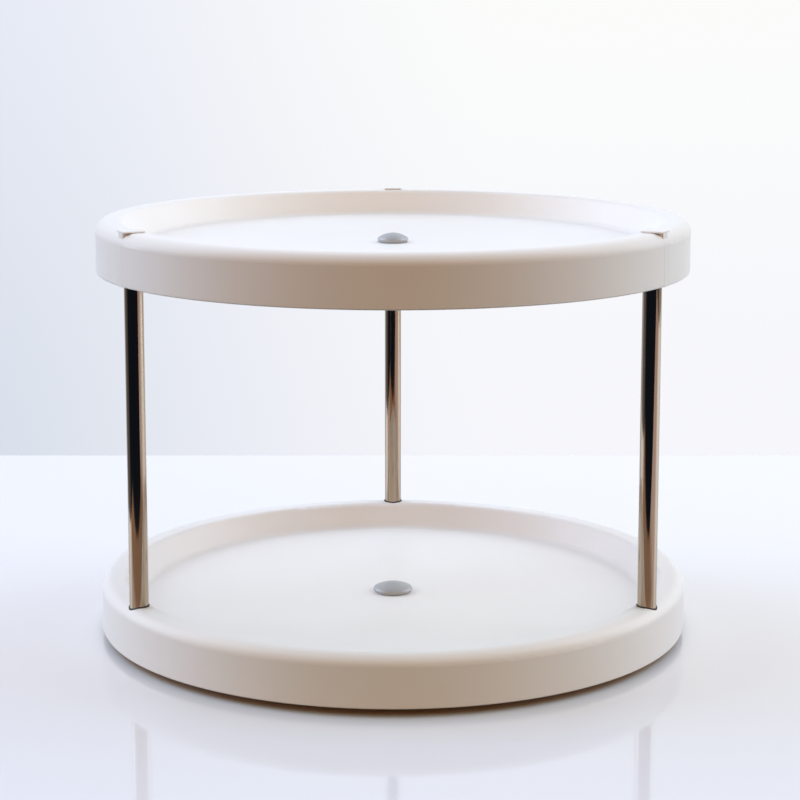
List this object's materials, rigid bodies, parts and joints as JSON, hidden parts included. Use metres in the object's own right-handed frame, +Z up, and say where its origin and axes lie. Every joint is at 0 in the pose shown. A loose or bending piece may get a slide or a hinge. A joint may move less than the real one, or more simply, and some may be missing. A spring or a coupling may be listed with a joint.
{
  "type": "lazy susan turntable",
  "caption": "Two-tier round lazy susan: white moulded trays with raised rims on polished posts, turning on a ring of balls over a low base.",
  "frame": {"origin": "on the table, under the middle of the base, on the axis that the trays turn about", "axes": "+Z up along the turning axis; +Y towards the single back post, so -Y is the front"},
  "size_m": [0.3048, 0.3048, 0.217],
  "materials": {
    "white_plastic": "satin moulded plastic",
    "base_plastic": "moulded plastic",
    "nylon": "natural nylon",
    "rubber": "soft black rubber",
    "polished_tube": "mirror polished, dark warm plating",
    "spun_metal": "spun, grey",
    "zinc_steel": "zinc plated",
    "bearing_steel": "ground",
    "brass": "turned"
  },
  "bodies": {
    "base": {"base_plate": "base_plastic", "rubber_foot_1": "rubber", "rubber_foot_2": "rubber", "rubber_foot_3": "rubber", "rubber_foot_4": "rubber", "rubber_foot_5": "rubber", "rubber_foot_6": "rubber", "pivot_washer": "zinc_steel", "pivot_screw": "zinc_steel"},
    "cage": {"ball_cage": "nylon", "bearing_balls": "bearing_steel"},
    "turntable": {"lower_tray": "white_plastic", "upper_tray": "white_plastic", "pivot_bush": "nylon", "lower_centre_cap": "spun_metal", "upper_centre_cap": "spun_metal", "lower_post_screws": "zinc_steel", "lower_post_washers": "zinc_steel", "upper_post_screws": "zinc_steel", "post_tube_1": "polished_tube", "post_grommet_1": "rubber", "lower_insert_1": "brass", "upper_insert_1": "brass", "cover_clip_1": "white_plastic", "post_tube_2": "polished_tube", "post_grommet_2": "rubber", "lower_insert_2": "brass", "upper_insert_2": "brass", "cover_clip_2": "white_plastic", "post_tube_3": "polished_tube", "post_grommet_3": "rubber", "lower_insert_3": "brass", "upper_insert_3": "brass", "cover_clip_3": "white_plastic"}
  },
  "joints": [
    {"name": "tray_spin", "type": "hinge", "parent": "base", "child": "turntable", "pos_m": [0, 0, 0.0089], "axis": [0, 0, 1], "continuous": true},
    {"name": "cage_spin", "type": "hinge", "parent": "base", "child": "cage", "pos_m": [0, 0, 0.0089], "axis": [0, 0, 1], "continuous": true}
  ],
  "couplings": [
    {"joint": "cage_spin", "follows": "tray_spin", "ratio": 0.5}
  ]
}
